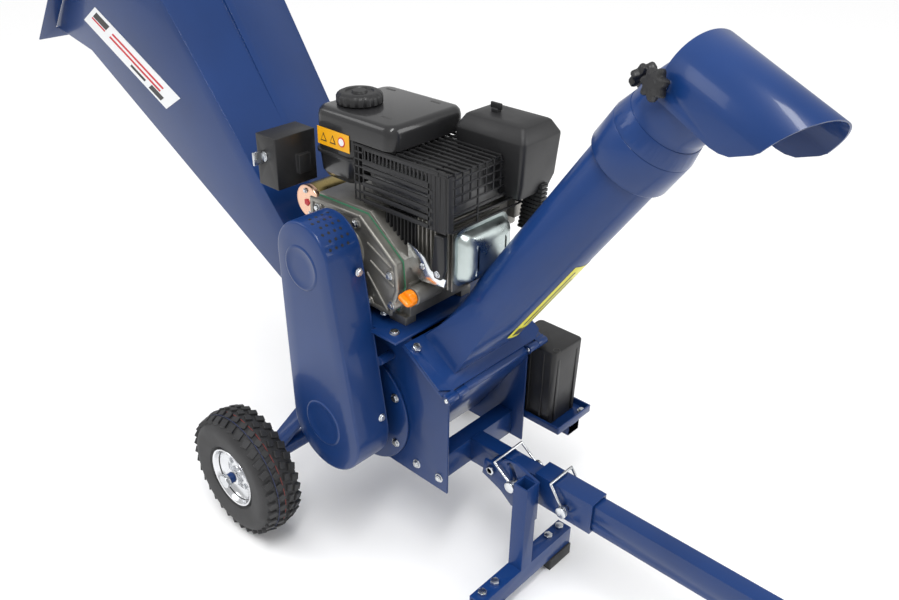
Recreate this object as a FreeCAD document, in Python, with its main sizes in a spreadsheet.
import FreeCAD, Part
import math
import os
import Sketcher

from FreeCAD import Placement, Rotation, Vector

# A towable petrol wood chipper. X points forward along the tow bar, Y to the left, Z up from the ground.
DIMENSIONS = {
    # rotor housing
    "rotor_x": -37, "rotor_z": 266, "volute_radius": 112.6, "rotor_radius": 100, "drum_radius": 84,
    "drum_half_width": 92, "shaft_radius": 15, "plate_face": 104, "plate_sheet": 4,
    "housing_bottom": 168, "housing_front": 164, "housing_rear": -165, "plate_tail": -192,
    "cover_radius": 112, "cover_sheet": 5, "cover_bolt_circle": 96,
    "throat_bottom": 364, "throat_top": 451, "running_gap": 0.05, "moving_gap": 0.4,
    # engine plate
    "deck_bottom": 455, "deck_sheet": 5, "deck_front": 88, "deck_right": -146, "deck_left": 112,
    # discharge chute
    "chute_tilt": 34.24, "chute_rise": 219.6, "chute_axis_back": 69.7, "chute_radius": 52.5,
    "chute_sheet": 2.5, "flange_sheet": 4, "flange_length": 112, "flange_half_width": 128,
    "base_front": 29, "base_back": 108, "base_half_width": 84, "base_height": 118,
    "tube_top": 505, "collar_low": 454, "collar_radius": 60, "head_radius": 53, "head_ring_top": 523,
    "head_bend": 17, "head_turn": -19.3, "head_bend_height": 548, "head_top_length": 46,
    "hood_pivot_height": 587.6, "hood_lift": 15.5, "hood_radius": 57, "hood_sheet": 2.2,
    "hood_length": 186, "hood_back": 8, "hood_rise": 13.3, "hood_skirt": 18, "hood_side": 162,
    "hinge_barrel": 7, "hinge_pin": 4, "hinge_inner": 80, "hinge_outer": 126.5,
    # hopper
    "mouth_low_x": -940, "mouth_low_z": 787, "mouth_high_x": -657, "mouth_high_z": 1091,
    "kink_x": -807, "kink_z": 759, "hopper_top_x": -170.5, "hopper_top_z": 465,
    "hopper_low_x": -172, "hopper_low_z": 371.5, "hopper_sheet": 2.5, "hopper_spread_x": 0.0199,
    "hopper_spread_z": 0.0434, "hopper_half_width": 100, "lip_width": 33, "lip_sheet": 3,
    "rib_width": 16, "rib_height": 14,
    # wheels and axle
    "wheel_x": -181, "wheel_z": 125, "wheel_y": 276, "tyre_radius": 125, "tyre_half_width": 41,
    "rim_radius": 58.7, "rim_half_width": 35, "axle_radius": 10, "axle_half": 318,
    # drawbar
    "bar_width": 30, "bar_height": 50, "bar_wall": 3, "bar_z": 205, "bar_end": 962.5, "bar_start": 302,
    "beam_z": 200, "beam_front": 284, "sleeve_front": 397.5, "sleeve_width": 40, "sleeve_height": 60,
    "sleeve_wall": 4, "cross_rear": 108, "cross_front": 139, "cross_low": 173, "cross_high": 222,
    "hitch_radius": 10, "pin_radius": 6, "wire_radius": 2.3,
    # folding stand
    "pivot_x": 208, "pivot_z": 210, "lock_x": 257, "lock_z": 207, "cheek_face": -40, "cheek_sheet": 5,
    "post_rear": 277, "post_front": 305, "post_right": -68, "post_left": -38, "foot_low": 24,
    "foot_high": 60.5, "foot_right": -169, "foot_left": 76, "pad_length": 60, "fold_angle": 41,
    "towpin_x": 350, "towpin_z": 200,
    # belt drive
    "crank_x": -57, "crank_z": 568, "crank_radius": 12.7, "clutch_radius": 46, "driven_radius": 68,
    "belt_width": 13, "belt_depth": 8, "guard_face": -205, "guard_edge": -137, "guard_sheet": 2,
    "guard_top_x": -59, "guard_top_z": 578, "guard_top_radius": 62,
    "guard_low_x": -29, "guard_low_z": 265, "guard_low_radius": 84,
    # engine
    "case_rear": -140, "case_front": 52, "case_right": -94, "case_left": 70, "case_top": 636,
    "tank_right": -90, "tank_left": 77, "tank_rear": -151, "tank_front": 29, "tank_top": 780,
    "tank_low": 658, "tank_step": 742, "cap_x": -104, "cap_y": -31, "cap_radius": 38,
    "guard_box_rear": -56, "guard_box_front": 145, "guard_box_right": -92, "guard_box_left": 85,
    "guard_box_low": 645, "guard_box_top": 740,
    # battery
    "box_rear": 119, "box_front": 214, "box_right": 112, "box_left": 196, "box_top": 372,
    "tray_low": 215, "tray_sheet": 3, "tray_rim": 230, "tray_front": 238,
}

doc = FreeCAD.newDocument("wood_chipper")
dims = doc.addObject("Spreadsheet::Sheet", "dims")
for row, (alias, number) in enumerate(DIMENSIONS.items(), start=1):
    dims.set(f"A{row}", alias)
    dims.set(f"B{row}", str(number))
    dims.setAlias(f"B{row}", alias)
doc.recompute()


class Size:
    """A length worked out from the sheet: its value now and the expression that keeps it bound."""

    def __init__(self, value, text):
        self.value = value
        self.text = text

    def __add__(self, other):
        return Size(self.value + value(other), f"({self.text} + {text(other)})")

    def __radd__(self, other):
        return as_size(other) + self

    def __sub__(self, other):
        return Size(self.value - value(other), f"({self.text} - {text(other)})")

    def __rsub__(self, other):
        return as_size(other) - self

    def __mul__(self, other):
        return Size(self.value * value(other), f"({self.text} * {text(other)})")

    def __rmul__(self, other):
        return as_size(other) * self

    def __truediv__(self, other):
        return Size(self.value / value(other), f"({self.text} / {text(other)})")

    def __neg__(self):
        return Size(-self.value, f"(-{self.text})")


def value(size):
    return size.value if isinstance(size, Size) else size


def text(size):
    return size.text if isinstance(size, Size) else f"({size})"


def as_size(number):
    return Size(value(number), text(number))


def sine(angle):
    return Size(math.sin(math.radians(value(angle))), f"sin({text(angle)} * 1 deg)")


def cosine(angle):
    return Size(math.cos(math.radians(value(angle))), f"cos({text(angle)} * 1 deg)")


class Sheet:
    """Gives each cell of the dimension sheet as a Size."""

    def __getattr__(self, alias):
        return Size(float(getattr(dims, alias)), f"dims.{alias}")


d = Sheet()
nodes = []
ALONG = {"x": Rotation(Vector(0, 1, 0), 90), "y": Rotation(Vector(1, 0, 0), -90), "z": Rotation()}
PLANES = {"x": "YZ_Plane", "y": "XZ_Plane", "z": "XY_Plane"}


def bind(thing, path, size):
    thing.setExpression(path, text(size))


def place(thing, x, y, z, turn=None):
    if turn is not None:
        thing.Placement = Placement(Vector(), turn)
    for path, size in (("x", x), ("y", y), ("z", z)):
        bind(thing, f".Placement.Base.{path}", size)
    return thing


def node(name, thing, frame=None):
    """Names one sub-part; a frame puts a sub-part drawn about its own origin where it belongs."""
    if frame is not None:
        thing.Placement = frame
    thing.Label = name
    nodes.append(thing)
    return thing


def box(xs, ys, zs):
    solid = doc.addObject("Part::Box", "block")
    for path, (low, high) in (("Length", xs), ("Width", ys), ("Height", zs)):
        bind(solid, path, as_size(high) - low)
    return place(solid, xs[0], ys[0], zs[0])


def cylinder(axis, x, y, z, radius, length):
    solid = doc.addObject("Part::Cylinder", "round")
    bind(solid, "Radius", radius)
    bind(solid, "Height", length)
    return place(solid, x, y, z, ALONG[axis])


def cone(axis, x, y, z, radius, far_radius, length):
    solid = doc.addObject("Part::Cone", "taper")
    bind(solid, "Radius1", radius)
    bind(solid, "Radius2", far_radius)
    bind(solid, "Height", length)
    return place(solid, x, y, z, ALONG[axis])


def hexagon(axis, x, y, z, radius, length):
    solid = doc.addObject("Part::Prism", "hexagon")
    solid.Polygon = 6
    bind(solid, "Circumradius", radius)
    bind(solid, "Height", length)
    return place(solid, x, y, z, ALONG[axis])


def fuse(*parts):
    joined = doc.addObject("Part::MultiFuse", "joined")
    joined.Shapes = list(parts)
    joined.Refine = True
    return joined


def group(*parts):
    several = doc.addObject("Part::Compound", "group")
    several.Links = list(parts)
    return several


def cut(base, *tools):
    result = doc.addObject("Part::Cut", "cut")
    result.Base = base
    result.Tool = tools[0] if len(tools) == 1 else fuse(*tools)
    result.Refine = True
    return result


def ring(axis, x, y, z, radius, bore, length):
    return cut(cylinder(axis, x, y, z, radius, length), cylinder(axis, x, y, z, bore, length))


def square_tube(axis, xs, ys, zs, wall):
    """A rectangular tube open at both ends along the given axis."""
    inner = {"x": xs, "y": ys, "z": zs}
    for name in inner:
        if name != axis:
            low, high = inner[name]
            inner[name] = (as_size(low) + wall, as_size(high) - wall)
    return cut(box(xs, ys, zs), box(inner["x"], inner["y"], inner["z"]))


def origin_plane(body, role):
    return next(item for item in body.Origin.OriginFeatures if item.Role == role)


def pin_vertex(sketch, edge, index, u, v):
    """Fixes a line's first end at a place bound to the sheet."""
    for kind, size in (("DistanceX", u), ("DistanceY", v)):
        if value(size) == 0:
            axis = -2 if kind == "DistanceX" else -1
            sketch.addConstraint(Sketcher.Constraint("PointOnObject", edge, 1, axis))
            continue
        name = f"{kind[-1].lower()}{index}"
        number = sketch.addConstraint(Sketcher.Constraint(kind, -1, 1, edge, 1, value(size)))
        sketch.renameConstraint(number, name)
        sketch.setExpression(f"Constraints.{name}", text(size))


def outline_sketch(body, role, points):
    """A closed polygon on one of the body's own origin planes, each corner bound to the sheet."""
    sketch = body.newObject("Sketcher::SketchObject", "outline")
    sketch.AttachmentSupport = [(origin_plane(body, role), "")]
    sketch.MapMode = "FlatFace"
    corners = [Vector(value(u), value(v), 0) for u, v in points]
    for index, corner in enumerate(corners):
        sketch.addGeometry(Part.LineSegment(corner, corners[(index + 1) % len(corners)]))
    for index in range(len(corners)):
        following = (index + 1) % len(corners)
        sketch.addConstraint(Sketcher.Constraint("Coincident", index, 2, following, 1))
    for index, (u, v) in enumerate(points):
        pin_vertex(sketch, index, index, u, v)
    return sketch


def plate(axis, points, low, high):
    """A flat piece: an outline across the given axis, padded from low to high along it."""
    body = doc.addObject("PartDesign::Body", "body")
    sketch = outline_sketch(body, PLANES[axis], points)
    # the XZ plane's normal points along -Y, so a plate across Y starts at its high side
    start = -as_size(high) if axis == "y" else as_size(low)
    bind(sketch, ".AttachmentOffset.Base.z", start)
    pad = body.newObject("PartDesign::Pad", "pad")
    pad.Profile = sketch
    bind(pad, "Length", as_size(high) - low)
    return body


def turned(points):
    """A piece turned about its own Z: the outline gives radius and height."""
    body = doc.addObject("PartDesign::Body", "turned")
    sketch = outline_sketch(body, "XZ_Plane", points)
    revolution = body.newObject("PartDesign::Revolution", "revolution")
    revolution.Profile = sketch
    revolution.ReferenceAxis = (sketch, ["V_Axis"])
    revolution.Angle = 360
    return body


def tapered_slot(top, low, front, back):
    """The space between two circles and their common tangents, across Y from front to back."""
    (top_x, top_z, top_radius), (low_x, low_z, low_radius) = top, low
    across = value(top_x) - value(low_x)
    up = value(top_z) - value(low_z)
    heading = math.atan2(up, across)
    spread = math.acos((value(low_radius) - value(top_radius)) / math.hypot(across, up))
    right, left = heading - spread, heading + spread

    def on_circle(circle, angle):
        x, z, radius = circle
        return x + radius * math.cos(angle), z + radius * math.sin(angle)

    corners = [on_circle(low, right), on_circle(top, right), on_circle(top, left), on_circle(low, left)]
    length = as_size(back) - front
    return fuse(
        cylinder("y", top_x, front, top_z, top_radius, length),
        cylinder("y", low_x, front, low_z, low_radius, length),
        plate("y", corners, front, back),
    )


def wire(points, radius):
    """Round wire along straight runs, with a ball at each bend."""
    runs = []
    for start, end in zip(points, points[1:]):
        run = doc.addObject("Part::Cylinder", "run")
        begin = Vector(*[value(size) for size in start])
        finish = Vector(*[value(size) for size in end])
        bind(run, "Radius", radius)
        run.Height = (finish - begin).Length
        run.Placement = Placement(begin, Rotation(Vector(0, 0, 1), finish - begin))
        runs.append(run)
    for bend in points[1:-1]:
        ball = doc.addObject("Part::Sphere", "bend")
        bind(ball, "Radius", radius)
        runs.append(place(ball, *bend))
    return fuse(*runs)


# ---- the sloping outlet plane of the housing, on which the chute is hinged ----
tilt_sine = sine(d.chute_tilt)
tilt_cosine = cosine(d.chute_tilt)
hinge_x = d.rotor_x + d.volute_radius * tilt_cosine + d.chute_rise * tilt_sine
hinge_z = d.rotor_z - d.volute_radius * tilt_sine + d.chute_rise * tilt_cosine
CHUTE = Placement(Vector(value(hinge_x), 0, value(hinge_z)), Rotation(Vector(0, 1, 0), value(d.chute_tilt)))


def slope_point(back, above):
    """A point of the XZ plane, given as distance back from the hinge and height above the outlet."""
    x = hinge_x - back * tilt_cosine + above * tilt_sine
    z = hinge_z + back * tilt_sine + above * tilt_cosine
    return x, z


seat = -(d.flange_sheet + d.moving_gap)


def side_plate_outline():
    low_corner = slope_point(as_size(9), seat)
    top_back = (d.deck_bottom - hinge_z - seat * tilt_cosine) / tilt_sine
    top_corner = slope_point(top_back, seat)
    return [
        (d.plate_tail, d.housing_bottom),
        (d.housing_front, d.housing_bottom),
        (d.housing_front, hinge_z - 18),
        low_corner,
        top_corner,
        (d.housing_rear, d.deck_bottom),
        (d.housing_rear, d.throat_bottom),
        (d.plate_tail, d.housing_bottom + 80),
    ]


def side_plate(name, inner, outer):
    low = inner if value(inner) < value(outer) else outer
    high = outer if low is inner else inner
    blank = plate("y", side_plate_outline(), low, high)
    opening = cylinder("y", d.rotor_x, low, d.rotor_z, d.rotor_radius + 4, d.plate_sheet)
    node(name, cut(blank, opening))


def housing_shell():
    half = d.plate_face - d.plate_sheet
    sheet = d.plate_sheet

    def profile(radius, front_top, throat_low, roof, rear_x):
        tangent = (d.rotor_x + radius * tilt_cosine, d.rotor_z - radius * tilt_sine)
        return [
            (d.rotor_x - radius, d.rotor_z),
            tangent,
            (tangent[0] + front_top * tilt_sine, tangent[1] + front_top * tilt_cosine),
            slope_point((roof - hinge_z - seat * tilt_cosine) / tilt_sine, seat),
            (rear_x, roof),
            (rear_x, throat_low),
            (d.rotor_x - radius, throat_low),
        ]

    outer_radius = d.volute_radius + sheet
    inner_top = d.chute_rise + 30
    outer = fuse(
        plate("y", profile(outer_radius, d.chute_rise + seat, d.throat_bottom - sheet,
                           d.deck_bottom, d.housing_rear), -half, half),
        cylinder("y", d.rotor_x, -half, d.rotor_z, outer_radius, half * 2),
    )
    inner_outline = profile(d.volute_radius, inner_top, d.throat_bottom, d.throat_top, d.housing_rear - 20)
    inner_outline[3:4] = [slope_point(d.base_back - 4, as_size(30)), (slope_point(d.base_back - 4, 0)[0],
                                                                      d.throat_top)]
    inner = fuse(
        plate("y", inner_outline, -half, half),
        cylinder("y", d.rotor_x, -half, d.rotor_z, d.volute_radius, half * 2),
    )
    return cut(outer, inner, cylinder("y", hinge_x, -half, hinge_z, d.hinge_barrel, half * 2))


def housing_flange():
    """The frame round the outlet, drawn level and then laid on the slope."""
    frame_plate = box((-d.flange_length, -(d.hinge_barrel + 2)), (-d.flange_half_width,
                                                                  d.flange_half_width),
                      (seat, -d.moving_gap))
    opening = box((-(d.base_back - 4), 0), (-(d.base_half_width - 3), d.base_half_width - 3), (seat, 0))
    holes = [cylinder("z", -97, side * 114, seat, 6, d.flange_sheet) for side in (-1, 1)]
    return fuse(cut(frame_plate, opening, *holes), housing_knuckle(-1), housing_knuckle(1))


def housing_knuckle(side):
    """The fixed barrel of a hinge, with the tab that carries it on the outlet frame."""
    low, high = sorted((side * value(d.hinge_inner), side * (value(d.hinge_inner) + 23)))
    barrel = cylinder("y", 0, low, 0, d.hinge_barrel, high - low)
    tab = box((-(d.hinge_barrel + 2), 0), (low, high), (seat, -d.moving_gap))
    return cut(fuse(barrel, tab), cylinder("y", 0, low, 0, d.hinge_pin, high - low))


side_plate("side_plate_right", -(d.plate_face - d.plate_sheet), -d.plate_face)
side_plate("side_plate_left", d.plate_face - d.plate_sheet, d.plate_face)
node("housing_shell", housing_shell())
node("outlet_flange", housing_flange(), CHUTE)

# ---- covers, bearings and rotor ----
cover_out = d.plate_face + d.cover_sheet
bearing_out = cover_out + 18


def bearing_cover(side):
    start = d.plate_face if side > 0 else -cover_out
    return ring("y", d.rotor_x, start, d.rotor_z, d.cover_radius, 24, d.cover_sheet)


def bearing_unit(side):
    start = cover_out if side > 0 else -bearing_out
    hub = cylinder("y", d.rotor_x, start, d.rotor_z, 34, 18)
    foot = cylinder("y", d.rotor_x, start if side > 0 else -(cover_out + 8), d.rotor_z, 52, 8)
    bore = cylinder("y", d.rotor_x, start, d.rotor_z, d.shaft_radius + d.running_gap, 18)
    return cut(fuse(hub, foot), bore)


node("bearing_covers", group(bearing_cover(1), bearing_cover(-1)))
node("rotor_bearings", group(bearing_unit(1), bearing_unit(-1)))
node("rotor_shaft", cylinder("y", d.rotor_x, -196, d.rotor_z, d.shaft_radius, bearing_out + 4 + 196))


def rotor_drum():
    half = d.drum_half_width
    drum = cylinder("y", d.rotor_x, -half, d.rotor_z, d.drum_radius, half * 2)
    return cut(drum, cylinder("y", d.rotor_x, -half, d.rotor_z, d.shaft_radius, half * 2))


def rotor_knife(quarter):
    """One knife bar on the drum's rim, reaching just inside the rotor's sweep."""
    half = d.drum_half_width - 4
    bar = cut(
        box((-12, 12), (-half, half), (d.drum_radius - 4, d.rotor_radius - 1.5)),
        cylinder("y", 0, -half, 0, d.drum_radius, half * 2),
    )
    hub = Vector(value(d.rotor_x), 0, value(d.rotor_z))
    bar.Placement = Placement(hub, Rotation(Vector(0, 1, 0), 90 * quarter + 45))
    return bar


node("rotor_drum", rotor_drum())
node("rotor_knives", group(*[rotor_knife(quarter) for quarter in range(4)]))
anvil_half = d.plate_face - d.plate_sheet
node("counter_knife", box((d.rotor_x - d.volute_radius, d.rotor_x - 80), (-anvil_half, anvil_half),
                          (d.rotor_z + 66, d.rotor_z + 76)))


# ---- belt drive ----
belt_gap = 0.5
guard_inner = d.guard_face + d.guard_sheet
belt_rows = (-190, -172)


def pulley(x, z, radius, hub):
    """A two-groove pulley: a drum with a square groove for each belt, and a hub towards the machine."""
    start = belt_rows[0] - 5
    length = belt_rows[1] + 5 + d.belt_width - start
    blank = cylinder("y", x, start, z, radius, length)
    collar = cylinder("y", x, start, z, hub + 14, length + 12)
    grooves = [ring("y", x, row - belt_gap, z, radius + 1, radius - d.belt_depth,
                    d.belt_width + 2 * belt_gap)
               for row in belt_rows]
    return cut(fuse(blank, collar), cylinder("y", x, start, z, hub, length + 12), *grooves)


def belt(row):
    low = (d.rotor_x, d.rotor_z)
    top = (d.crank_x, d.crank_z)
    depth = d.belt_depth - 2

    def loop(grow):
        return tapered_slot((*top, d.clutch_radius - d.belt_depth + belt_gap + grow),
                            (*low, d.driven_radius - d.belt_depth + belt_gap + grow), row,
                            row + d.belt_width)

    return cut(loop(depth), loop(0))


node("driven_pulley", pulley(d.rotor_x, d.rotor_z, d.driven_radius, d.shaft_radius))
node("clutch_pulley", pulley(d.crank_x, d.crank_z, d.clutch_radius, d.crank_radius))
node("drive_belts", group(*[belt(row) for row in belt_rows]))


def guard_space(inset, front, back):
    return tapered_slot((d.guard_top_x, d.guard_top_z, d.guard_top_radius - inset),
                        (d.guard_low_x, d.guard_low_z, d.guard_low_radius - inset), front, back)


def belt_guard():
    shell = cut(guard_space(0, d.guard_face, d.guard_edge), guard_space(d.guard_sheet, guard_inner,
                                                                        d.guard_edge))
    return shell


def guard_backplate():
    back = d.guard_edge + 3
    sheet = guard_space(0, d.guard_edge, back)
    crank_hole = cylinder("y", d.crank_x, d.guard_edge, d.crank_z, 30, 3)
    shaft_hole = cylinder("y", d.rotor_x, d.guard_edge, d.rotor_z, 36, 3)
    spacers = [cylinder("y", x, back, z, 8, -as_size(back) - d.plate_face)
               for x, z in ((d.rotor_x + 72, d.rotor_z + 130), (d.rotor_x - 62, d.rotor_z + 130))]
    return fuse(cut(sheet, crank_hole, shaft_hole), *spacers)


node("belt_guard", belt_guard())
node("belt_guard_backplate", guard_backplate())


def engine_plate():
    """The engine's seat, cut back where the belt guard stands against it."""
    top = d.deck_bottom + d.deck_sheet
    blank = box((d.housing_rear, d.deck_front), (d.deck_right, d.deck_left), (d.deck_bottom, top))
    return cut(blank, box((d.housing_rear - 1, 30), (d.deck_right - 1, d.guard_edge + 3.1), (d.deck_bottom,
                                                                                             top)))


node("engine_plate", engine_plate())

# ---- chassis ----
plate_inner = d.plate_face - d.plate_sheet
beam_half = d.bar_width / 2
beam_low = d.beam_z - d.bar_height / 2
beam_high = d.beam_z + d.bar_height / 2


def chassis_beam():
    cross = square_tube("y", (d.cross_rear, d.cross_front), (-plate_inner, plate_inner),
                        (d.cross_low, d.cross_high), d.bar_wall)
    beam = square_tube("x", (d.cross_front, d.beam_front), (-beam_half, beam_half), (beam_low, beam_high),
                       d.bar_wall)
    holes = [cylinder("y", x, -beam_half, z, radius, d.bar_width)
             for x, z, radius in ((d.lock_x, d.lock_z, d.pin_radius), (d.pivot_x, d.pivot_z, d.pin_radius))]
    return group(cross, cut(beam, *holes))


def axle_stay(side):
    """A flat bar from the axle's outer part up to the side plate."""
    outer = Vector(value(d.wheel_x), side * 222, value(d.wheel_z) + 6)
    inner = Vector(value(d.wheel_x), side * value(d.plate_face), value(d.housing_bottom) + 34)
    bar = doc.addObject("Part::Box", "stay")
    bar.Length = 34
    bar.Width = 8
    bar.Height = (inner - outer).Length
    turn = Rotation(Vector(0, 0, 1), inner - outer)
    bar.Placement = Placement(outer, turn).multiply(Placement(Vector(-17, -4, 0), Rotation()))
    return cut(bar, box((d.wheel_x - 30, d.wheel_x + 30), (-d.plate_face, d.plate_face), (d.wheel_z,
                                                                                          d.deck_bottom)))


def axle_beam():
    rod = cylinder("y", d.wheel_x, -d.axle_half, d.wheel_z, d.axle_radius, d.axle_half * 2)
    spacer = cylinder("y", d.wheel_x, -(d.wheel_y - d.rim_half_width - 4), d.wheel_z, 16,
                      (d.wheel_y - d.rim_half_width - 4) * 2)
    legs = [box((d.wheel_x - 10, d.wheel_x + 10), tuple(sorted((side * 88, side * 99.9))),
                (d.wheel_z + 10, d.housing_bottom + 50)) for side in (-1, 1)]
    return fuse(rod, spacer, axle_stay(-1), axle_stay(1), *legs)


def drawbar_sleeve():
    half = d.sleeve_width / 2
    tube = square_tube("x", (d.beam_front, d.sleeve_front), (-half, half),
                       (d.bar_z - d.sleeve_height / 2, d.bar_z + d.sleeve_height / 2), d.sleeve_wall)
    collar = square_tube("x", (d.beam_front, d.beam_front + 6), (-half, half),
                         (d.bar_z - d.sleeve_height / 2, d.bar_z + d.sleeve_height / 2), d.sleeve_wall + 4)
    hole = cylinder("y", d.towpin_x, -half, d.towpin_z, d.pin_radius, d.sleeve_width)
    return cut(fuse(tube, collar), hole)


def tow_bar():
    tube = square_tube("x", (d.bar_start, d.bar_end - 34), (-beam_half, beam_half),
                       (d.bar_z - d.bar_height / 2, d.bar_z + d.bar_height / 2), d.bar_wall)
    tongue = box((d.bar_end - 60, d.bar_end), (-(beam_half - d.bar_wall), beam_half - d.bar_wall),
                 (d.bar_z - 8, d.bar_z + 8))
    cap = box((d.bar_end - 37, d.bar_end - 34), (-beam_half, beam_half),
              (d.bar_z - d.bar_height / 2, d.bar_z + d.bar_height / 2))
    pin_hole = cylinder("y", d.towpin_x, -beam_half, d.towpin_z, d.pin_radius, d.bar_width)
    hitch = cylinder("z", d.bar_end - 16, 0, d.bar_z - 8, d.hitch_radius, 16)
    return cut(fuse(tube, tongue, cap), pin_hole, hitch)


node("chassis_beam", chassis_beam())
node("axle_beam", axle_beam())
node("drawbar_sleeve", drawbar_sleeve())
node("tow_bar", tow_bar())


# ---- folding stand ----
cheek_back = d.cheek_face + d.cheek_sheet


def lock_slot():
    """The curved slot between the two lock holes, about the leg's pivot."""
    reach = d.lock_x - d.pivot_x
    outer = cylinder("y", 0, 0, 0, reach + d.pin_radius + 0.5, d.cheek_sheet)
    bind(outer, "Angle", d.fold_angle)
    inner = cylinder("y", 0, 0, 0, reach - d.pin_radius - 0.5, d.cheek_sheet)
    slot = cut(outer, inner)
    turn = Rotation(Vector(0, 1, 0), -value(d.fold_angle) + 3.5)
    slot.Placement = Placement(Vector(value(d.pivot_x), value(d.cheek_face), value(d.pivot_z)), turn)
    return slot


def stand_leg():
    outline = [
        (d.pivot_x - 20, d.pivot_z - 18), (d.pivot_x + 22, d.pivot_z - 34), (d.lock_x - 4, d.lock_z - 49),
        (d.post_front, d.lock_z - 49), (d.post_front, d.lock_z + 31), (d.lock_x + 2, d.lock_z + 44),
        (d.lock_x - 13, d.lock_z + 43), (d.lock_x - 25, d.lock_z + 36), (d.lock_x - 33, d.lock_z + 27),
        (d.pivot_x + 14, d.pivot_z + 13), (d.pivot_x - 16, d.pivot_z + 14),
    ]
    cheek = plate("y", outline, d.cheek_face, cheek_back)
    post = square_tube("z", (d.post_rear, d.post_front), (d.post_right, d.cheek_face),
                       (d.foot_high, d.lock_z + 31), d.bar_wall)
    bore = d.pin_radius + d.running_gap
    boss_length = -(cheek_back + beam_half + 1)
    pivot_hole = cylinder("y", d.pivot_x, d.cheek_face, d.pivot_z, bore, d.cheek_sheet)
    boss = ring("y", d.pivot_x, cheek_back, d.pivot_z, 13, bore, boss_length)
    angle = d.fold_angle
    spare_x = d.pivot_x + (d.lock_x - d.pivot_x) * cosine(angle - 3.5)
    spare_z = d.pivot_z + (d.lock_x - d.pivot_x) * sine(angle - 3.5)
    ends = [cylinder("y", x, d.cheek_face, z, d.pin_radius + 0.6, d.cheek_sheet)
            for x, z in ((d.lock_x, d.lock_z), (spare_x, spare_z))]
    return fuse(cut(cheek, pivot_hole, lock_slot(), *ends), post, boss)


def stand_foot():
    tube = square_tube("y", (d.post_rear, d.post_front), (d.foot_right, d.foot_left),
                       (d.foot_low, d.foot_high), d.bar_wall)
    holes = [cylinder("z", foot_x, y, d.foot_low, 4, d.foot_high - d.foot_low) for y in foot_bolt_rows]
    return cut(tube, *holes)


def rubber_foot(low_y):
    block = box((d.post_rear - 2, d.post_front + 3), (low_y, as_size(low_y) + d.pad_length), (0,
                                                                                              d.foot_low))
    rows = [y for y in foot_bolt_rows if value(low_y) < y < value(low_y) + value(d.pad_length)]
    return cut(block, *[cylinder("z", foot_x, y, 8, 4, d.foot_low - 8) for y in rows])


def foot_bolt(y):
    shank = cylinder("z", foot_x, y, 8, 4, d.foot_high - 8)
    return fuse(shank, hexagon("z", foot_x, y, d.foot_high, 8, 5.5))


def lock_pin(x, z, front, back):
    body = cylinder("y", x, front, z, d.pin_radius, as_size(back) - front)
    return fuse(body, cylinder("y", x, front - 4, z, 10, 4))


def wire_bail(x, z, front, back, top_x, top_z):
    """A wire loop whose two eyes turn on a lock pin."""
    eye_bore = d.pin_radius + d.running_gap
    half = 2
    eyes = [ring("y", x, y - half, z, 9.5, eye_bore, half * 2) for y in (front, back)]
    angle = math.atan2(value(top_z) - value(z), value(top_x) - value(x))
    near_x, near_z = x + 8 * math.cos(angle), z + 8 * math.sin(angle)
    loop = wire([(near_x, front, near_z), (top_x, front, top_z), (top_x, back, top_z), (near_x, back,
                                                                                        near_z)],
                d.wire_radius)
    return fuse(*eyes, loop)


foot_x = (d.post_rear + d.post_front) / 2 - 2
foot_bolt_rows = (-151, -119, 29, 62)
node("stand_leg", fuse(stand_leg(), stand_foot()))
node("rubber_feet", group(rubber_foot(d.foot_right), rubber_foot(d.foot_left - d.pad_length)))
node("foot_bolts", group(*[foot_bolt(y) for y in foot_bolt_rows]))
node("lock_pins", group(lock_pin(d.lock_x, d.lock_z, -50, 32), lock_pin(d.towpin_x, d.towpin_z, -33, 35)))
node("leg_pin_bail", wire_bail(d.lock_x, d.lock_z, -45.5, 27, 218, 235))
node("drawbar_pin_bail", wire_bail(d.towpin_x, d.towpin_z, -29, 29, 322, 240))


# ---- wheels ----
def wheel_frame(side):
    """The wheel is drawn about its own Z, which points outwards once it is on the axle."""
    hub = Vector(value(d.wheel_x), side * value(d.wheel_y), value(d.wheel_z))
    return Placement(hub, Rotation(Vector(1, 0, 0), -90 * side))


def rim_outline():
    bore = d.axle_radius + d.running_gap
    edge = d.rim_half_width
    well = d.rim_radius - 9
    return [
        (bore, -edge - 3), (18, -edge - 3), (18, -2), (well - 4, -2), (well - 4, -edge + 6),
        (d.rim_radius - 3, -edge + 3),
        (d.rim_radius - 3, -edge), (d.rim_radius, -edge), (d.rim_radius, -edge + 6), (well, -edge + 9),
        (well, edge - 9), (d.rim_radius, edge - 6), (d.rim_radius, edge), (d.rim_radius - 3, edge),
        (d.rim_radius - 3, edge - 3), (well - 4, edge - 6), (well - 4, 2), (18, 2), (18, edge - 8), (bore, edge - 8),
    ]


def tyre_outline():
    """The tyre's section: beads in the rim's well, bulging side walls and a gently crowned tread."""
    bead = d.rim_radius - 9
    half = d.tyre_half_width
    return [
        (bead, -(d.rim_half_width - 9)), (d.rim_radius, -(d.rim_half_width - 6)), (d.rim_radius + 4,
                                                                                   -(half - 5)),
        (d.rim_radius + 22, -half), (d.tyre_radius - 26, -half), (d.tyre_radius - 10, -(half - 6)),
        (d.tyre_radius - 2.5, -(half - 16)), (d.tyre_radius, 0), (d.tyre_radius - 2.5, half - 16),
        (d.tyre_radius - 10, half - 6), (d.tyre_radius - 26, half), (d.rim_radius + 22, half),
        (d.rim_radius + 4, half - 5), (d.rim_radius, d.rim_half_width - 6), (bead, d.rim_half_width - 9),
    ]


for side_name, side in (("right", -1), ("left", 1)):
    node(f"rim_{side_name}", turned(rim_outline()), wheel_frame(side))
    node(f"tyre_{side_name}", turned(tyre_outline()), wheel_frame(side))


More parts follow.
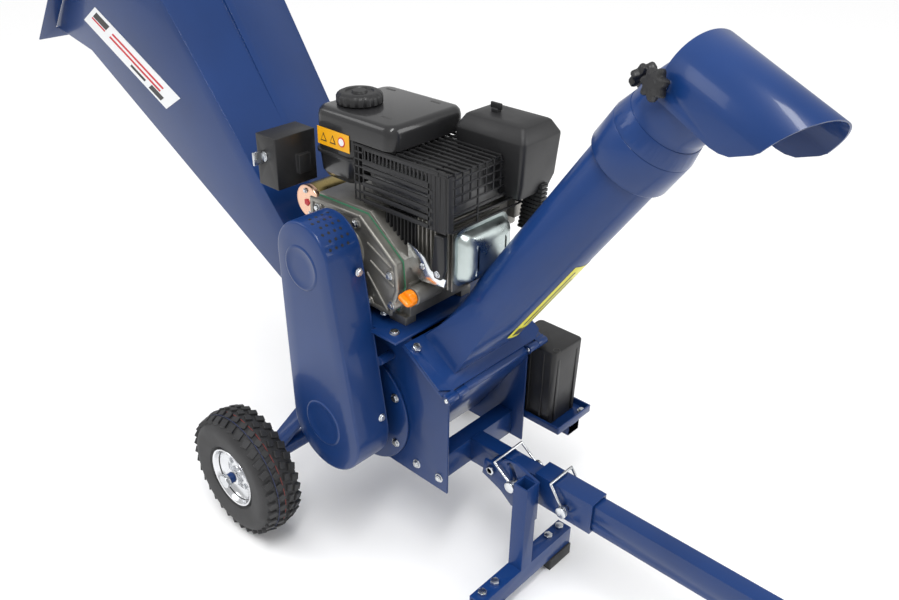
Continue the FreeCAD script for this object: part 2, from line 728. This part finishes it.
# ---- hopper ----
def hopper_half_width(x, z):
    along = (x - d.hopper_top_x) * d.hopper_spread_x
    return d.hopper_half_width - along + (z - d.hopper_top_z) * d.hopper_spread_z


def polyhedron(profile):
    """A closed solid between two flat, mirrored sides that spread from the machine to the mouth."""
    right = [Vector(value(x), -value(hopper_half_width(x, z)), value(z)) for x, z in profile]
    left = [Vector(corner.x, -corner.y, corner.z) for corner in right]
    rims = [Part.Face(Part.makePolygon(side + side[:1])) for side in (right, left)]
    walls = []
    for index in range(len(profile)):
        following = (index + 1) % len(profile)
        corners = [right[index], right[following], left[following], left[index]]
        walls.append(Part.Face(Part.makePolygon(corners + corners[:1])))
    return Part.makeSolid(Part.makeShell(rims + walls))


def hopper_shape():
    profile = [(d.hopper_top_x, d.hopper_top_z), (d.mouth_high_x, d.mouth_high_z), (d.mouth_low_x,
                                                                                    d.mouth_low_z),
               (d.kink_x, d.kink_z), (d.hopper_low_x, d.hopper_low_z)]
    solid = polyhedron(profile)
    mouth = Vector(value(d.mouth_high_x + d.mouth_low_x) / 2, 0, value(d.mouth_high_z + d.mouth_low_z) / 2)
    throat = Vector(value(d.hopper_top_x + d.hopper_low_x) / 2, 0,
                    value(d.hopper_top_z + d.hopper_low_z) / 2)
    ends = [face for face in solid.Faces
            if min(face.CenterOfMass.distanceToPoint(mouth),
                   face.CenterOfMass.distanceToPoint(throat)) < 30]
    return solid.makeThickness(ends, -value(d.hopper_sheet), 0.001)


def shape_node(name, shape, frame=None):
    thing = doc.addObject("Part::Feature", name)
    thing.Shape = shape
    return node(name, thing, frame)


def throat_flange():
    """The hopper's bolting frame against the back of the housing."""
    half = d.hopper_half_width + 3
    outside = box((d.hopper_top_x, d.housing_rear - 0.2), (-half, half), (d.hopper_low_z - 12,
                                                                          d.deck_bottom - 0.5))
    inside_half = d.hopper_half_width - 5
    inside = box((d.hopper_top_x - 5, d.housing_rear), (-inside_half, inside_half),
                 (d.throat_bottom + 11, d.deck_bottom - 6))
    return cut(outside, inside)


def mouth_frame():
    """The mouth's own frame: X out of the mouth, Z up its slope, from the middle of the mouth."""
    low = Vector(value(d.mouth_low_x), 0, value(d.mouth_low_z))
    high = Vector(value(d.mouth_high_x), 0, value(d.mouth_high_z))
    up = (high - low).normalize()
    across = Vector(0, 1, 0)
    return Placement((low + high) / 2, Rotation(across.cross(up), across, up, "ZYX"))


def hopper_lip():
    rise = math.hypot(value(d.mouth_high_x - d.mouth_low_x), value(d.mouth_high_z - d.mouth_low_z)) / 2
    low_half = value(hopper_half_width(d.mouth_low_x, d.mouth_low_z))
    high_half = value(hopper_half_width(d.mouth_high_x, d.mouth_high_z))
    sheet = value(d.lip_sheet)

    def opening(grow):
        corners = [Vector(0, -low_half - grow, -rise - grow), Vector(0, low_half + grow, -rise - grow),
                   Vector(0, high_half + grow, rise + grow), Vector(0, -high_half - grow, rise + grow)]
        return Part.Face(Part.makePolygon(corners + corners[:1])).extrude(Vector(sheet, 0, 0))

    return opening(value(d.lip_width)).cut(opening(value(d.moving_gap) * 3))


def hopper_rib():
    """The stiffening rib up the middle of the hopper's front face, deepest at the top."""
    foot = Vector(value(d.hopper_top_x) - 170, 0, 0)
    top = Vector(value(d.mouth_high_x), 0, value(d.mouth_high_z))
    start = Vector(value(d.hopper_top_x), 0, value(d.hopper_top_z))
    along = (top - start).normalize()
    begin = start + along * ((foot.x - start.x) / along.x)
    mouth_up = (top - Vector(value(d.mouth_low_x), 0, value(d.mouth_low_z))).normalize()
    into_hopper = Vector(mouth_up.z, 0, -mouth_up.x)
    behind_lip = value(d.lip_sheet) + 1
    end = top - along * (behind_lip / abs(along.dot(into_hopper)))
    half = value(d.rib_width) / 2
    corners = [begin, end, end + mouth_up * value(d.rib_height)]
    blank = Part.Face(Part.makePolygon(corners + corners[:1]))
    blank.translate(Vector(0, -half, 0))
    return blank.extrude(Vector(0, half * 2, 0))


hopper_sheet_metal = doc.addObject("Part::Feature", "hopper_sheet_metal")
hopper_sheet_metal.Shape = hopper_shape().fuse(hopper_rib())
node("hopper_body", fuse(hopper_sheet_metal, throat_flange()))
shape_node("hopper_lip", hopper_lip(), mouth_frame())


# ---- discharge chute, drawn standing on the outlet flange and laid on its slope ----
def chute_transition():
    """The sheet between the square opening in the flange and the round tube."""
    sheet = value(d.chute_sheet)
    back, front = -value(d.base_back), -value(d.base_front)
    half = value(d.base_half_width)
    height = value(d.base_height)

    def loft(inset, low, high):
        x0, x1, y = back + inset, front - inset, half - inset
        corners = [Vector(x0, -y, low), Vector(x1, -y, low), Vector(x1, y, low), Vector(x0, y, low)]
        square = Part.makePolygon(corners + corners[:1])
        circle = Part.Circle(Vector(-value(d.chute_axis_back), 0, high), Vector(0, 0, 1),
                             value(d.chute_radius) - inset)
        return Part.makeLoft([square, Part.Wire(circle.toShape())], True, True)

    flange_top = value(d.flange_sheet)
    return loft(0, flange_top, height).cut(loft(sheet, flange_top, height))


def chute_knuckle(side):
    low, high = sorted((side * (value(d.hinge_inner) + 24), side * value(d.hinge_outer)))
    bore = d.hinge_pin + d.running_gap
    barrel = cylinder("y", 0, low, 0, d.hinge_barrel, high - low)
    tab = box((-(d.hinge_barrel + 3), 0), (low, high), (0.5, d.flange_sheet))
    return cut(fuse(barrel, tab), cylinder("y", 0, low, 0, bore, high - low))


def chute_base():
    half = d.flange_half_width
    start = -(d.hinge_barrel + 2)
    corner = 22
    outline = [
        (start, -(half - corner)), (start, half - corner), (start - corner / 2, half), (-d.flange_length,
                                                                                        half),
        (-d.flange_length, -half), (start - corner / 2, -half),
    ]
    flange = plate("z", outline, 0, d.flange_sheet)
    inner = d.base_half_width - d.chute_sheet
    opening = box((-(d.base_back - d.chute_sheet), -(d.base_front + d.chute_sheet)), (-inner, inner), (0, d.flange_sheet))
    holes = [cylinder("z", -97, side * 114, 0, 4, d.flange_sheet) for side in (-1, 1)]
    transition = doc.addObject("Part::Feature", "transition")
    transition.Shape = chute_transition()
    axis = -d.chute_axis_back
    tube = ring("z", axis, 0, d.base_height, d.chute_radius, d.chute_radius - d.chute_sheet,
                d.tube_top - d.base_height)
    return fuse(cut(flange, opening, *holes), transition, tube, chute_knuckle(-1), chute_knuckle(1))


def clamp_bolt(side):
    shank = cylinder("z", -97, side * 114, -6, 4, 10)
    return fuse(shank, hexagon("z", -97, side * 114, d.flange_sheet, 8, 5.5))


def hinge_pin(side):
    low, high = sorted((side * (value(d.hinge_inner) - 2), side * (value(d.hinge_outer) + 2)))
    return cylinder("y", 0, low, 0, d.hinge_pin, high - low)


node("chute_base", chute_base(), CHUTE)
node("chute_clamp_bolts", group(clamp_bolt(-1), clamp_bolt(1)), CHUTE)
collar_axis = -d.chute_axis_back
node("swivel_collar", ring("z", collar_axis, 0, d.collar_low, d.collar_radius, d.chute_radius,
                           d.tube_top - d.collar_low), CHUTE)

# the head is drawn about the chute's own axis and then turned on the collar
HEAD = CHUTE.multiply(Placement(Vector(-value(d.chute_axis_back), 0, 0), Rotation(Vector(0, 0, 1),
                                                                                  value(d.head_turn))))


def chute_head():
    """A bent, obliquely cut pipe over the tube's end, with a spigot turning inside the tube."""
    wall = d.chute_sheet
    base = d.tube_top + d.moving_gap
    spigot = ring("z", 0, 0, d.tube_top - 25, d.chute_radius - wall - d.moving_gap,
                  d.chute_radius - wall - d.moving_gap - 2, 25 + d.moving_gap)
    skirt = cone("z", 0, 0, base, d.collar_radius, d.head_radius + 1, d.head_ring_top - base + 8)
    lower = cylinder("z", 0, 0, base, d.head_radius, d.head_bend_height - base)
    turn = Rotation(Vector(0, 1, 0), value(d.head_bend))
    ball = place(doc.addObject("Part::Sphere", "elbow"), 0, 0, d.head_bend_height)
    bind(ball, "Radius", d.head_radius)
    upper = place(cylinder("z", 0, 0, 0, d.head_radius, d.head_top_length), 0, 0, d.head_bend_height, turn)
    outside = fuse(skirt, lower, ball, upper)
    hollow_radius = d.head_radius - wall
    hollow_ball = place(doc.addObject("Part::Sphere", "elbow"), 0, 0, d.head_bend_height)
    bind(hollow_ball, "Radius", hollow_radius)
    hollow_upper = place(cylinder("z", 0, 0, 0, hollow_radius, d.head_top_length + 20), 0, 0,
                         d.head_bend_height, turn)
    hollow = fuse(cylinder("z", 0, 0, base - 40, d.chute_radius - wall - d.moving_gap - 2, 47),
                  cylinder("z", 0, 0, base + 5, hollow_radius, d.head_bend_height - base - 5),
                  hollow_ball, hollow_upper)
    return cut(fuse(cut(outside, hollow), spigot), *[
        cylinder("y", 0, low, d.hood_pivot_height, 4, 30) for low in (-70, 40)])


def star_knob(radius, length, stem, stem_length):
    """A five-lobed knob on a threaded stem, drawn along its own Z from the stem's tip."""
    lobes = []
    for index in range(5):
        angle = math.radians(72 * index)
        lobes.append(cylinder("z", radius * 0.62 * math.cos(angle), radius * 0.62 * math.sin(angle),
                              stem_length,
                              radius * 0.38, length))
    hub = cylinder("z", 0, 0, stem_length, radius * 0.72, length)
    return fuse(hub, *lobes, cylinder("z", 0, 0, 0, stem, stem_length))


def deflector_hood():
    """A half-round sheet channel, open below, drawn along its own X over the pivot at its own origin."""
    sheet = d.hood_sheet
    length = d.hood_length
    start = -d.hood_back
    rise = d.hood_rise
    radius = d.hood_radius
    side_end = start + d.hood_side
    crest = rise + radius + 1
    front_cut = plate("y", [(side_end, rise - 1), (side_end + 40, rise - 1), (side_end + 40, crest),
                            (start + length, crest)], -radius - 1, radius + 1)
    roof = cut(
        cylinder("x", start, 0, rise, radius, length),
        cylinder("x", start - 1, 0, rise, radius - sheet, length + 2),
        box((start - 1, start + length + 1), (-radius - 1, radius + 1), (rise - radius - 1, rise)),
        front_cut,
    )
    sides = []
    for side in (-1, 1):
        low, high = sorted((side * value(radius), side * value(radius - sheet)))
        outline = [(start, -d.hood_skirt + 4), (start + 10, -d.hood_skirt), (side_end - 56, -d.hood_skirt),
                   (side_end - 42, -d.hood_skirt + 2), (side_end - 28, -d.hood_skirt + 7), (side_end - 14,
                                                                                            0),
                   (side_end - 5, 7), (side_end, rise), (start, rise)]
        sides.append(plate("y", outline, low, high))
    holes = [cylinder("y", 0, low, 0, 4, 10) for low in (-62, 52)]
    return cut(fuse(roof, *sides), *holes)


HOOD = HEAD.multiply(Placement(Vector(0, 0, value(d.hood_pivot_height)), Rotation(Vector(0, 1, 0),
                                                                                  -value(d.hood_lift))))
node("chute_head", chute_head(), HEAD)
node("deflector_hood", deflector_hood(), HOOD)
knob_turn = Rotation(Vector(0, 1, 0), -90)
node("collar_knob", star_knob(13, 11, 3.5, 12), HEAD.multiply(
    Placement(Vector(-value(d.head_radius) - 1.6, 0, 534), knob_turn)))
node("hood_knob", star_knob(15, 12, 3.5, 10), HOOD.multiply(
    Placement(Vector(0, -value(d.hood_radius) + 2.2, 0), Rotation(Vector(1, 0, 0), 90))))


# ---- engine ----
case_low = d.deck_bottom + d.deck_sheet
cover_face = d.case_right - 18


def engine_crankcase():
    body = box((d.case_rear, d.case_front), (d.case_right, d.case_left), (case_low + 14, d.case_top))
    feet = [box((x, x + 38), (y, y + 24), (case_low, case_low + 14))
            for x in (d.case_rear, d.case_front - 27) for y in (d.case_right - 4, d.case_left - 34)]
    neck = cylinder("y", 80, d.case_right - 6, 522, 15, 54)
    sump = box((d.case_front - 10, 66), (d.case_right + 4, d.case_left - 20), (case_low + 14, 535))
    tunnel = cylinder("y", d.crank_x, d.case_right - 1, d.crank_z, d.crank_radius + 8, 180)
    fill = cylinder("y", 80, d.case_right - 10, 522, 9.5, 40)
    return cut(fuse(body, neck, sump, *feet), tunnel, fill)


def crankcase_cover():
    outline = [
        (d.case_rear - 4, case_low + 22), (d.case_front - 10, case_low + 22), (d.case_front + 6,
                                                                               case_low + 70),
        (d.case_front + 2, case_low + 112), (d.crank_x + 34, d.crank_z + 62), (d.case_rear, d.crank_z + 60),
    ]
    blank = plate("y", outline, cover_face, d.case_right)
    boss = cylinder("y", d.crank_x, cover_face - 8, d.crank_z, 40, 8)
    return cut(fuse(blank, boss), cylinder("y", d.crank_x, cover_face - 8, d.crank_z,
                                           d.crank_radius + d.running_gap, 40))


def crankshaft():
    return fuse(cylinder("y", d.crank_x, -197, d.crank_z, d.crank_radius, 262),
                cylinder("y", d.crank_x, d.case_right + 6, d.crank_z, d.crank_radius + 5, 20))


def fan_housing():
    start = d.case_left
    drum = cylinder("y", d.crank_x, start, d.crank_z, 106, 34)
    dish = cone("y", d.crank_x, as_size(start) + 34, d.crank_z, 92, 64, 20)
    inside = cylinder("y", d.crank_x, start, d.crank_z, 102, 30)
    rope_hole = cylinder("y", d.crank_x + 40, as_size(start) + 28, d.crank_z + 52, 4, 30)
    under_tank = box((d.crank_x - 120, d.crank_x + 120), (start, 86), (d.guard_box_low - 0.5, d.tank_top))
    flat = box((d.crank_x - 120, d.crank_x + 120), (start, as_size(start) + 60), (300, case_low + 3))
    return cut(fuse(drum, dish), inside, rope_hole, flat, under_tank)


def recoil_handle():
    x, z = d.crank_x + 40, d.crank_z + 52
    face = value(d.case_left) + 54 + d.moving_gap
    rope = cylinder("y", x, face - 52, z, 2.5, 54)
    stem = cone("y", x, face, z, 7, 9, 12)
    bar = cylinder("x", x - 26, face + 18, z, 8, 52)
    return fuse(rope, stem, bar)


node("engine_crankcase", engine_crankcase())
node("crankcase_cover", crankcase_cover())
node("crankshaft", crankshaft())
node("fan_housing", fan_housing())
node("recoil_handle", recoil_handle())


def cylinder_head():
    """The finned barrel and head: a core with flat fins standing round it."""
    core = box((d.case_front, 137), (-52, 40), (548, 630))
    fins = [box((x, x + 3), (-68, 54), (538, 642)) for x in range(60, 136, 9)]
    return fuse(core, *fins)


node("cylinder_head", cylinder_head())
valve_cap = plate("y", [(141, 552), (144, 552), (161, 580), (163, 634), (141, 634)], -60, 44)
node("valve_cover", fuse(box((137, 141), (-70, 54), (548, 642)), valve_cap))
node("muffler", cut(box((-44, 132), (-80, 74), (655, 726)), box((-41, 129), (-77, 71), (658, 723))))


def muffler_guard():
    xs, ys = (d.guard_box_rear, d.guard_box_front), (d.guard_box_right, d.guard_box_left)
    zs = (d.guard_box_low, d.guard_box_top)
    inner_x = (d.guard_box_rear - 1, d.guard_box_front - 2)
    inner_y = (d.guard_box_right + 2, d.guard_box_left - 2)
    shell = [box(xs, ys, zs), box(inner_x, inner_y, (d.guard_box_low - 1, d.guard_box_top - 2))]
    slots = [box((d.guard_box_rear + 14, d.guard_box_front - 14), (y, y + 5), (d.guard_box_top - 3,
                                                                               d.guard_box_top + 1))
             for y in range(-80, 74, 11)]
    return cut(*shell, *slots)


def fuel_tank():
    xs, ys = (d.tank_rear, d.tank_front), (d.tank_right, d.tank_left)
    upper = box(xs, ys, (d.tank_step, d.tank_top))
    lower = box((d.tank_rear, d.guard_box_rear - 2), ys, (d.tank_low, d.tank_step))
    seam = box((d.tank_rear - 6, d.guard_box_rear - 2), (d.tank_right - 4, d.tank_left + 4), (706, 711))
    space = box((d.tank_rear + 3, d.guard_box_rear - 5), (d.tank_right + 3, d.tank_left - 3),
                (d.tank_low + 3, d.tank_top - 3))
    mouth = cylinder("z", d.cap_x, d.cap_y, d.tank_top - 4, 24, 5)
    return cut(fuse(upper, lower, seam), space, mouth)


def fuel_cap():
    gap = d.moving_gap
    rim = cylinder("z", d.cap_x, d.cap_y, d.tank_top + gap, d.cap_radius, 20)
    plug = cylinder("z", d.cap_x, d.cap_y, d.tank_top - 10, 22, 10 + gap)
    notches = [cylinder("z", d.cap_x + d.cap_radius * math.cos(math.radians(angle)),
                        d.cap_y + d.cap_radius * math.sin(math.radians(angle)), d.tank_top + gap, 3, 14)
               for angle in range(0, 360, 30)]
    return cut(fuse(rim, plug), *notches)


node("muffler_guard", muffler_guard())
node("fuel_tank", fuel_tank())
node("fuel_cap", fuel_cap())
wing_nut = fuse(cylinder("z", 89, 78, 785, 4, 6), box((75, 103), (75, 81), (788, 798)))
node("air_cleaner", fuse(wing_nut, box((44, 183), (30, 126), (741, 785)), box((147, 183), (30, 126), (695,
                                                                                                      741)),
                         box((44, 147), (87, 126), (695, 741)), box((150, 182), (86, 100), (600, 695))))
node("carburettor", fuse(box((70, 128), (87, 110), (612, 690)), cylinder("z", 99, 98, 596, 18, 16),
                         cylinder("z", 99, 98, 690, 10, 5), box((85, 113), (54, 88), (615, 640))))


def oil_dipstick():
    gap = d.moving_gap
    face = d.case_right - 6
    head = hexagon("y", 80, face - gap - 12, 522, 13, 12)
    grip = box((76, 84), (face - gap - 22, face - gap - 12), (512, 532))
    return fuse(head, grip, cylinder("y", 80, face - gap, 522, 8.6, 26))


node("oil_dipstick", oil_dipstick())
node("starter_motor", fuse(cylinder("y", -178, -92, 605, 30, 120), cylinder("y", -178, 28, 605, 22, 14),
                           box((-152, -140), (-70, -10), (590, 620))))
node("key_box", cut(fuse(box((-215, -165), (-160, -78), (648, 735)), box((-165, d.tank_rear - 6), (-120, -96), (668, 700))),
                    cylinder("y", -196, -160, 700, 9, 14)))
node("ignition_key", fuse(cylinder("y", -196, -162, 700, 9 - d.running_gap, 15), box((-198, -194), (-182, -162), (689, 711))))

# ---- battery ----
tray_right, tray_left = d.box_right - 4, d.box_left + 11


def battery_tray():
    rear, front, sheet = d.box_rear - 2, d.tray_front, d.tray_sheet
    floor = box((rear, front), (tray_right, tray_left), (d.tray_low, d.tray_low + sheet))
    rims = [
        box((rear, front), (tray_right, tray_right + sheet), (d.tray_low, d.tray_rim)),
        box((rear, front), (tray_left - sheet, tray_left), (d.tray_low, d.tray_rim)),
        box((front - sheet, front), (tray_right, tray_left), (d.tray_low, d.tray_rim)),
    ]
    tube = square_tube("x", (rear, front), (141, 173), (d.tray_low - 20, d.tray_low), 2)
    lug = box((rear + 8, rear + 28), (d.plate_face, 141), (d.tray_low - 18, d.tray_low))
    return fuse(floor, tube, lug, *rims)


def battery_box():
    xs, ys = (d.box_rear, d.box_front), (d.box_right, d.box_left)
    low = d.tray_low + d.tray_sheet
    space = box((d.box_rear + 3, d.box_front - 3), (d.box_right + 3, d.box_left - 3), (low + 3,
                                                                                       d.box_top - 4))
    return cut(box(xs, ys, (low, d.box_top)), space)


node("battery_tray", battery_tray())
node("battery_box", battery_box())
battery_low = d.tray_low + d.tray_sheet + 3
node("battery", box((d.box_rear + 5, d.box_front - 5), (d.box_right + 5, d.box_left - 5), (battery_low,
                                                                                           d.box_top - 22)))


# ---- fixed fasteners ----
def side_bolt(side, x, z, face, radius=7):
    start = value(face) if side > 0 else -(value(face) + 5)
    return hexagon("y", x, start, z, radius, 5)


def cover_bolts(side):
    bolts = []
    for angle in range(30, 390, 60):
        x = d.rotor_x + d.cover_bolt_circle * math.cos(math.radians(angle))
        z = d.rotor_z + d.cover_bolt_circle * math.sin(math.radians(angle))
        bolts.append(side_bolt(side, x, z, value(cover_out)))
    return bolts


def frame_bolts():
    bolts = cover_bolts(1) + cover_bolts(-1)
    for side in (-1, 1):
        low = 194 if side < 0 else 184
        bolts += [side_bolt(side, x, z, d.plate_face) for x, z in ((93, low), (146, low))]
        nut = cylinder("y", d.wheel_x, d.axle_half if side > 0 else -(d.axle_half + 9), d.wheel_z, 13, 9)
        bolts.append(nut)
    pivot = cylinder("y", d.pivot_x, d.cheek_face - 6, d.pivot_z, d.pin_radius, -(d.cheek_face - 6) + 26)
    head = hexagon("y", d.pivot_x, d.cheek_face - 6, d.pivot_z, 9, 5.5)
    bolts += [pivot, head]
    bolts += [hexagon("z", 65, -126, d.deck_bottom + d.deck_sheet, 8, 5)]
    bolts += [side_bolt(-1, x, z, -value(cover_face)) for x, z in ((-123, 618), (-31, 618), (45, 552))]
    hinge_pins = group(hinge_pin(-1), hinge_pin(1))
    hinge_pins.Placement = CHUTE
    return group(hinge_pins, *bolts)


node("frame_bolts", frame_bolts())


# ---- checks and files ----
doc.recompute()
problems = [thing.Name for thing in doc.Objects if "Invalid" in thing.State or "Error" in thing.State]
for thing in nodes:
    if thing.Shape.isNull() or not thing.Shape.isValid():
        problems.append(f"{thing.Label}: shape")
    volumes = [round(solid.Volume) for solid in thing.Shape.Solids]
    print(f"{thing.Label:24s} solids {len(volumes):3d}  volume {sum(volumes):10d}  {volumes if len(volumes) < 5 else ''}")
if problems:
    raise SystemExit(f"failed objects: {problems}")

os.makedirs("parts", exist_ok=True)
for thing in nodes:
    thing.Shape.exportStep(f"parts/{thing.Label}.step")
print(len(nodes), "sub-parts written")
